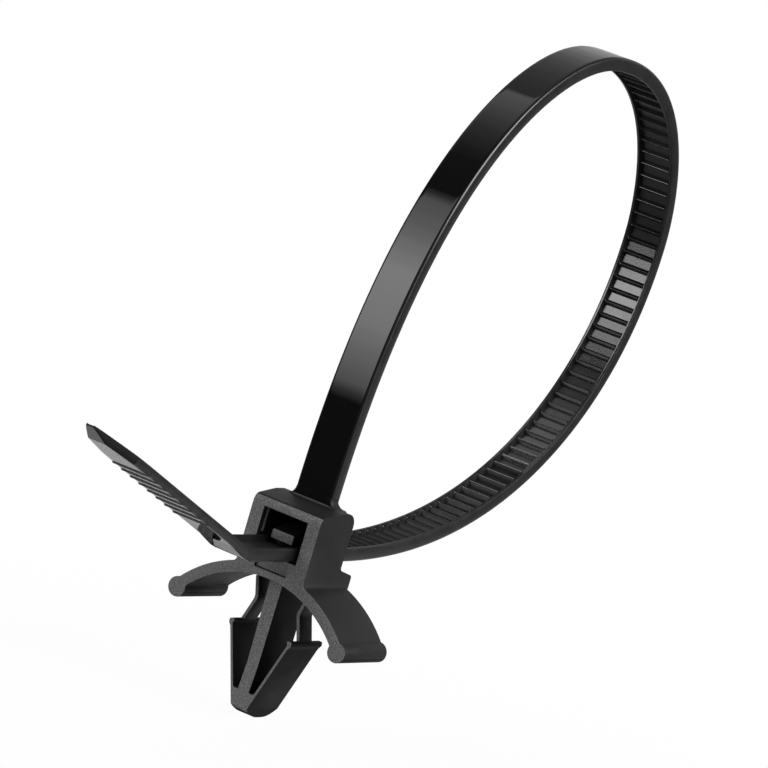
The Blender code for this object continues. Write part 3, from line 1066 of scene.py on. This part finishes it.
@dataclass
class Flare:
    """The strap's foot, which widens in a curve into the head's top."""

    width: float = 4.8 * MM
    thickness: float = 1.55 * MM
    back: float = 0.6 * MM
    head_top: float = 14.4 * MM
    flare: float = 1.0 * MM
    flare_deep: float = 0.45 * MM
    sink: float = 0.3 * MM
    gloss_above: float = 0.16 * MM
    edge: float = 0.3 * MM
    ring_curve: float = 1.6

    def build(self) -> Object:
        """Models the foot as a short post whose rings widen downwards.

        Returns:
            The finished piece.
        """
        low, high = self.head_top - self.sink, self.head_top + self.flare
        half = self.width / 2
        foot = block("strap_foot", (-half, -self.back, low), (half, -self.back + self.thickness, high))
        bevel(foot, lambda a, b: abs(a.z - b.z) > self.flare, self.edge, 3)
        steps = 14
        rings = [self.head_top + self.flare * (i / steps) ** self.ring_curve for i in range(steps)]
        bisect(foot, rings, Vector((0, 0, 1)))
        middle = -self.back + self.thickness / 2
        for vertex in foot.data.vertices:
            up = (vertex.co.z - self.head_top) / self.flare
            spread = 1 - math.sqrt(1 - (1 - up) ** 2) if up > 0 else 1 - up
            vertex.co.x += math.copysign(self.flare * spread, vertex.co.x)
            if vertex.co.y > middle:
                vertex.co.y += self.flare_deep * spread
        line = self.head_top + self.gloss_above
        return finished(foot, [
            (MATT, None),
            (POLISHED, lambda centre, normal: normal.y < -0.9 and centre.z > line),
        ], 50)


@dataclass
class Pawl:
    """The tongue in the head that locks on the strap's teeth."""

    width: float = 2.8 * MM
    bottom: float = 9.87 * MM
    front: float = 4.24 * MM
    end_height: float = 1.0 * MM
    wall: float = 0.6 * MM
    root_top: float = 12.55 * MM
    root_height: float = 1.5 * MM
    relief: float = 0.35 * MM
    teeth_length: float = 2.4 * MM
    sink: float = 0.4 * MM
    edge: float = 0.1 * MM

    def build(self) -> Object:
        """Models and dresses the pawl.

        Returns:
            The finished piece.
        """
        tip = -self.front
        outline = [
            (tip, self.bottom),
            (tip + self.teeth_length, self.bottom),
            (tip + self.teeth_length + self.relief, self.bottom + self.relief),
            (self.wall, self.root_top - self.root_height),
            (self.wall + self.sink, self.root_top - self.root_height),
            (self.wall + self.sink, self.root_top),
            (self.wall, self.root_top),
            (tip, self.bottom + self.end_height),
        ]
        pawl = extruded("pawl", outline, Side.SIDE, -self.width / 2, self.width / 2)
        soften(pawl, self.edge, 3)
        # The pawl in its chamber gets painted shade all over but its front, which gets the grain with its
        # painted sheen.
        return finished(pawl, [(PAINTED_SHADE, None), (GRAIN_AND_SHEEN, faces_front)])


# Wing


@dataclass
class Wing:
    """The arched plate that presses on the panel, with a round bead along each end."""

    rise: float = 5.75 * MM
    under_radius: float = 13.0 * MM
    thickness: float = 1.25 * MM
    half_length: float = 12.1 * MM
    bead_diameter: float = 2.2 * MM
    bead_inset: float = 0.12 * MM
    head_side: float = 4.38 * MM
    fillet: float = 0.6 * MM
    sink: float = 0.3 * MM
    front: float = 4.735 * MM
    depth: float = 8.495 * MM
    edge: float = 0.14 * MM

    def model(self) -> Object:
        """Models the wing, which the head takes in.

        Returns:
            The wing.
        """
        centre = Vector((0, self.rise - self.under_radius))
        reach = self.under_radius + self.thickness / 2 - self.bead_inset
        angle = self.half_length / reach
        bead = centre + Vector((math.sin(angle), math.cos(angle))) * reach
        radius = self.bead_diameter / 2
        over_radius = self.under_radius + self.thickness
        over_end = self.meeting(centre, over_radius, bead, radius)
        under_end = self.meeting(centre, self.under_radius, bead, radius)
        over = self.angle_of(over_end - centre)
        under = self.angle_of(under_end - centre)
        right = arc(bead, radius, self.angle_of(over_end - bead), self.angle_of(under_end - bead) - 360, 32)
        reach = self.head_side + self.fillet
        inside = self.head_side - self.sink
        middle = math.degrees(math.acos(inside / over_radius))
        beside = math.degrees(math.acos(reach / (over_radius + self.fillet)))
        foot = centre.y + math.sqrt((over_radius + self.fillet) ** 2 - reach**2)
        half = [(inside, foot)] + arc((reach, foot), self.fillet, 180, 180 + beside, 10)[:-1]
        half += arc(centre, over_radius, beside, over, 24)[:-1] + right
        outline = arc(centre, over_radius, 180 - middle, middle, 24) + half
        outline += arc(centre, self.under_radius, under, 180 - under, 60)[1:-1]
        outline += [(-across, up) for across, up in reversed(half)]
        wing = extruded("wing", outline, Side.FRONT, -self.front, -self.front + self.depth)
        soften(wing, self.edge, 3, 60)
        return wing

    @staticmethod
    def angle_of(way: Vector) -> float:
        """The angle of a direction, in degrees."""
        return math.degrees(math.atan2(way.y, way.x))

    @staticmethod
    def meeting(first: Vector, first_radius: float, second: Vector, second_radius: float) -> Vector:
        """Where two circles meet, on the left of the way from the first to the second.

        Args:
            first: The first centre.
            first_radius: Its radius.
            second: The second centre.
            second_radius: Its radius.

        Returns:
            The point.
        """
        between = second - first
        apart = between.length
        along = (apart**2 + first_radius**2 - second_radius**2) / (2 * apart)
        aside = math.sqrt(max(first_radius**2 - along**2, 0.0))
        ahead = between.normalized()
        return first + ahead * along + Vector((-ahead.y, ahead.x)) * aside


# Arrowhead


@dataclass
class Arrowhead:
    """The stem, the two sprung barbs and the tip that go through the panel."""

    barb_reach: float = 4.1 * MM
    barb_thickness: float = 0.29 * MM
    barb_lip: float = 0.72 * MM
    lip_height: float = 0.45 * MM
    depth: float = 6.1 * MM
    length: float = 9.6 * MM
    tip_half_width: float = 1.05 * MM
    tip_side_height: float = 1.0 * MM
    tip_taper: float = 0.1 * MM
    tip_solid: float = 2.75 * MM
    stem_width: float = 1.42 * MM
    stem_widening: float = 0.12 * MM
    stem_depth: float = 5.5 * MM
    stem_top: float = 6.1 * MM
    stem_blend: float = 3.0 * MM
    sink: float = 0.4 * MM
    overlap: float = 0.1 * MM
    past: float = 1.0 * MM
    tip_round: float = 0.2 * MM
    side_round: float = 0.3 * MM
    bend_round: float = 0.5 * MM
    lip_round: float = 0.26 * MM
    gap_round: float = 0.34 * MM
    edge: float = 0.1 * MM

    def build(self) -> Object:
        """Models and dresses the arrowhead.

        Returns:
            The finished piece.
        """
        depth = self.depth / 2
        tip_low = -self.length
        side_low = tip_low + self.tip_side_height
        lean = (self.barb_reach - self.tip_half_width) / -side_low
        wall = self.barb_thickness * math.hypot(1, lean)
        gap_low = tip_low + self.tip_solid
        inner = self.barb_reach + gap_low * lean - wall
        half_stem = self.stem_width / 2
        right = [
            (self.tip_half_width - self.tip_taper, tip_low, self.tip_round),
            (self.tip_half_width, side_low, self.side_round),
            (self.barb_reach - 2 * self.lip_height * lean, -2 * self.lip_height, self.bend_round),
            (self.barb_reach, -self.lip_height, self.side_round),
            (self.barb_reach, 0, self.lip_round),
            (self.barb_reach - self.barb_lip, 0, self.lip_round),
            (self.barb_reach - self.lip_height * lean - wall, -self.lip_height, self.tip_round),
            (inner, gap_low, self.gap_round),
            (half_stem - self.overlap, gap_low, 0),
        ]
        corners = right + [(-across, up, radius) for across, up, radius in reversed(right)]
        arrow = extruded("arrowhead", rounded(corners, 6), Side.FRONT, -depth, depth)
        sag = self.tip_side_height
        radius = (depth * depth + sag * sag) / (2 * sag)
        edge = math.degrees(math.asin(min(1.0, depth / radius)))
        curved = arc((0, tip_low + radius), radius, -90 - edge, -90 + edge, 32)
        profile = [(depth, self.past), (-depth, self.past)] + curved
        reach = 2 * self.barb_reach
        boolean(arrow, extruded("tip_profile", profile, Side.SIDE, -reach, reach), "INTERSECT")
        stem = block(
            "stem",
            (-half_stem, -self.stem_depth / 2, gap_low - self.sink),
            (half_stem, self.stem_depth / 2, self.stem_top),
        )
        bisect(stem, (gap_low, gap_low + self.stem_blend), Vector((0, 0, 1)))
        for vertex in stem.data.vertices:
            if vertex.co.z < gap_low + HAIR:
                vertex.co.y = math.copysign(depth, vertex.co.y)
            elif vertex.co.z > 0:
                vertex.co.x += math.copysign(self.stem_widening, vertex.co.x)
        boolean(arrow, stem, "UNION")
        soften(arrow, self.edge, 3)
        # The arrowhead gets painted shade on all but its front faces, which get the grain with its painted
        # sheen.
        return finished(arrow, [(PAINTED_SHADE, None), (GRAIN_AND_SHEEN, faces_front)])


@dataclass
class Neck:
    """A thin strip that stands on a barb: in to the panel hole, then out under the wing."""

    side: int
    depth: float = 2.5 * MM
    thickness: float = 0.45 * MM
    foot: float = 3.74 * MM
    foot_height: float = -0.2 * MM
    waist: float = 2.75 * MM
    waist_height: float = 2.7 * MM
    top: float = 3.4 * MM
    top_height: float = 4.9 * MM
    bend_round: float = 1.2 * MM
    edge: float = 0.08 * MM

    def build(self) -> Object:
        """Models and dresses one neck.

        Returns:
            The finished piece.
        """
        half = self.thickness / 2
        line = [
            (self.foot, self.foot_height),
            (self.waist, self.waist_height),
            (self.top, self.top_height),
        ]
        outer = [(across + half, up) for across, up in line]
        inner = [(across - half, up) for across, up in reversed(line)]
        corners = [
            (*outer[0], 0), (*outer[1], self.bend_round), (*outer[2], 0),
            (*inner[0], 0), (*inner[1], self.bend_round), (*inner[2], 0),
        ]
        outline = [(across * self.side, up) for across, up in rounded(corners)]
        name = "neck_left" if self.side < 0 else "neck_right"
        neck = extruded(name, outline, Side.FRONT, -self.depth / 2, self.depth / 2)
        soften(neck, self.edge, 2, 60)
        # The front faces get the grain with its painted sheen.
        return finished(neck, [(MATT, None), (GRAIN_AND_SHEEN, faces_front)])


# Studio


@dataclass(frozen=True)
class PhotoCamera:
    """The photograph's camera, as measured on the tie."""

    azimuth: float = 30.508
    elevation: float = 8.571
    roll: float = 16.426
    pixels_per_metre: float = 9427.3
    distance: float = 0.73011
    origin_column: float = 276.479
    origin_row: float = 629.563
    picture: float = 768.0
    sensor: float = 36.0
    nearest: float = 0.05
    farthest: float = 20.0

    def build(self) -> Object:
        """Makes the camera the scene's own.

        Returns:
            The camera.
        """
        azimuth, elevation = math.radians(self.azimuth), math.radians(self.elevation)
        back = Vector((
            math.sin(azimuth) * math.cos(elevation),
            -math.cos(azimuth) * math.cos(elevation),
            math.sin(elevation),
        ))
        right = Vector((0, 0, 1)).cross(back).normalized()
        up = back.cross(right)
        c, s = math.cos(math.radians(self.roll)), math.sin(math.radians(self.roll))
        camera_x, camera_y = right * c + up * s, up * c - right * s
        across = (self.origin_column - self.picture / 2) / self.pixels_per_metre
        high = (self.picture / 2 - self.origin_row) / self.pixels_per_metre
        place = back * self.distance - camera_x * across - camera_y * high
        bpy.ops.object.camera_add(location=place)
        camera = bpy.context.object
        turn = Matrix((camera_x, camera_y, back)).transposed()
        camera.rotation_euler = turn.to_euler()
        camera.data.sensor_width = self.sensor
        camera.data.lens = self.pixels_per_metre * self.distance / self.picture * self.sensor
        camera.data.clip_start = self.nearest
        camera.data.clip_end = self.farthest
        bpy.context.scene.camera = camera
        return camera


@dataclass(frozen=True)
class Studio:
    """The studio round the tie: soft boxes by their angle about the X axis, in degrees from +Y up.

    Each stop is an angle and a brightness, where 1 is a white card. From -X to +X the stops are
    dim, left, dim, right, lamp and right, and they change at the bounds.
    """

    left: Stops = (
        (-180, 0.05), (-166, 0.05), (-150, 0.3), (-90, 0.5), (-40, 0.6), (-10, 0.6), (8, 0.5),
        (22, 0.65), (37, 0.58), (51, 0.45), (64, 0.36), (77, 0.3), (81.8, 0.3), (82.2, 1.1),
        (90, 0.9), (102, 0.4), (115, 0.08), (129.3, 0.05), (129.6, 1.3), (139, 2.1), (151, 4.3),
        (162, 3.8), (174.2, 1.3), (174.5, 0.05), (180, 0.05),
    )
    dim: Stops = (
        (-180, 0.05), (-150, 0.3), (-90, 0.5), (-10, 0.6), (22, 0.65), (64, 0.36), (90, 0.5),
        (110, 0.08), (180, 0.04),
    )
    right: Stops = (
        (-180, 0.1), (-150, 0.25), (-60, 0.3), (-20, 0.15), (10, 0.12), (40, 0.2), (80, 0.4),
        (110, 0.9), (130, 1.0), (170, 0.8), (180, 0.1),
    )
    lamp: Stops = (
        (-180, 0.1), (-150, 0.25), (-60, 0.3), (-20, 0.15), (10, 0.12), (25, 0.2), (40, 8.0), (55, 12.0),
        (112, 12.0), (126, 1.5), (134, 0.15), (180, 0.1),
    )
    brightest: float = 12.0
    bounds: tuple[float, float, float, float, float] = (-0.72, -0.3, 0.22, 0.72, 0.93)
    blend: float = 0.05
    floor_radius: float = 0.135
    floor_drop: float = 9.9 * MM
    floor_left: float = 0.72
    floor_right: float = 0.5
    floor_change: float = 12.0 * MM
    floor_whiteness: float = 0.97
    shadow_reach: tuple[float, float] = (30.0 * MM, 90.0 * MM)

    def build(self) -> None:
        """Makes the world's light and the floor."""
        self.light()
        self.floor()

    def light(self) -> None:
        """Paints the soft boxes into the world, and shows the camera plain white."""
        world = bpy.data.worlds.new("studio")
        bpy.context.scene.world = world
        world.use_nodes = True
        tree = world.node_tree
        tree.nodes.clear()
        way = node(tree, "TexCoord", {}).outputs["Generated"]
        split = node(tree, "SeparateXYZ", {"Vector": way}).outputs
        angle = node(tree, "Math", {0: split["Z"], 1: split["Y"]}, operation="ARCTAN2").outputs["Value"]
        share = change(tree, angle, (-math.pi, math.pi), (0.0, 1.0))
        colour = self.ramp(tree, self.dim, share)
        for bound, stops in zip(self.bounds, (self.left, self.dim, self.right, self.lamp, self.right)):
            past = change(tree, split["X"], (bound - self.blend, bound + self.blend), (0.0, 1.0))
            inputs = {"Factor": past, 6: colour, 7: self.ramp(tree, stops, share)}
            colour = node(tree, "Mix", inputs, data_type="RGBA").outputs[2]
        studio = node(tree, "Background", {"Strength": self.brightest, "Color": colour})
        white = node(tree, "Background", {"Color": (1, 1, 1, 1)})
        seen = node(tree, "LightPath", {}).outputs["Is Camera Ray"]
        inputs = {"Fac": seen, 1: studio.outputs["Background"], 2: white.outputs["Background"]}
        both = node(tree, "MixShader", inputs).outputs["Shader"]
        node(tree, "OutputWorld", {"Surface": both})

    def ramp(self, tree: Tree, stops: Stops, share: Socket) -> Socket:
        """Turns stops into a colour ramp.

        Args:
            tree: The world's nodes.
            stops: Each angle and its brightness.
            share: The angle as a share of the whole turn.

        Returns:
            The ramp's colour.
        """
        made = node(tree, "ValToRGB", {"Fac": share})
        elements = made.color_ramp.elements
        elements.remove(elements[1])
        for i, (angle, bright) in enumerate(stops):
            place = (angle + 180) / 360
            stop = elements[0] if i == 0 else elements.new(place)
            stop.position = place
            stop.color = (*[bright / self.brightest] * 3, 1)
        return made.outputs["Color"]

    def floor(self) -> None:
        """Lays a round white sheet under the tie, which keeps a trace of its shadow."""
        bpy.ops.mesh.primitive_circle_add(
            vertices=96, radius=self.floor_radius, fill_type="NGON", location=(0, 0, -self.floor_drop)
        )
        sheet = bpy.context.object
        sheet.name = "floor"
        bpy.ops.object.transform_apply(location=True, rotation=True, scale=True)
        material = bpy.data.materials.new("white_sheet")
        material.use_nodes = True
        tree = material.node_tree
        tree.nodes.clear()
        place = node(tree, "TexCoord", {}).outputs["Object"]
        across = node(tree, "SeparateXYZ", {"Vector": place}).outputs["X"]
        reach = (-self.floor_change, self.floor_change)
        grey = change(tree, across, reach, (self.floor_left, self.floor_right))
        matt = node(tree, "BsdfDiffuse", {"Color": grey}).outputs["BSDF"]
        away = node(tree, "VectorMath", {0: place}, operation="LENGTH").outputs["Value"]
        whiteness = change(tree, away, self.shadow_reach, (self.floor_whiteness, 1.0))
        white = node(tree, "Emission", {"Color": (1, 1, 1, 1)}).outputs["Emission"]
        seen = node(tree, "LightPath", {}).outputs["Is Camera Ray"]
        part = node(tree, "Math", {0: seen, 1: whiteness}, operation="MULTIPLY").outputs["Value"]
        both = node(tree, "MixShader", {"Fac": part, 1: matt, 2: white}).outputs["Shader"]
        node(tree, "OutputMaterial", {"Surface": both})
        sheet.data.materials.append(material)


def main() -> None:
    """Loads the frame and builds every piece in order."""
    logging.basicConfig(level=logging.INFO, format="%(name)s: %(message)s")
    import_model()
    camera = PhotoCamera().build()
    LOG.info("camera: lens %.1f mm", camera.data.lens)
    Strap().build()
    Head().build(Wing().model())
    Flare().build()
    Pawl().build()
    Arrowhead().build()
    for side in (-1, 1):
        Neck(side).build()
    Studio().build()
    bpy.context.scene.view_settings.view_transform = "Standard"


if __name__ == "__main__":
    main()
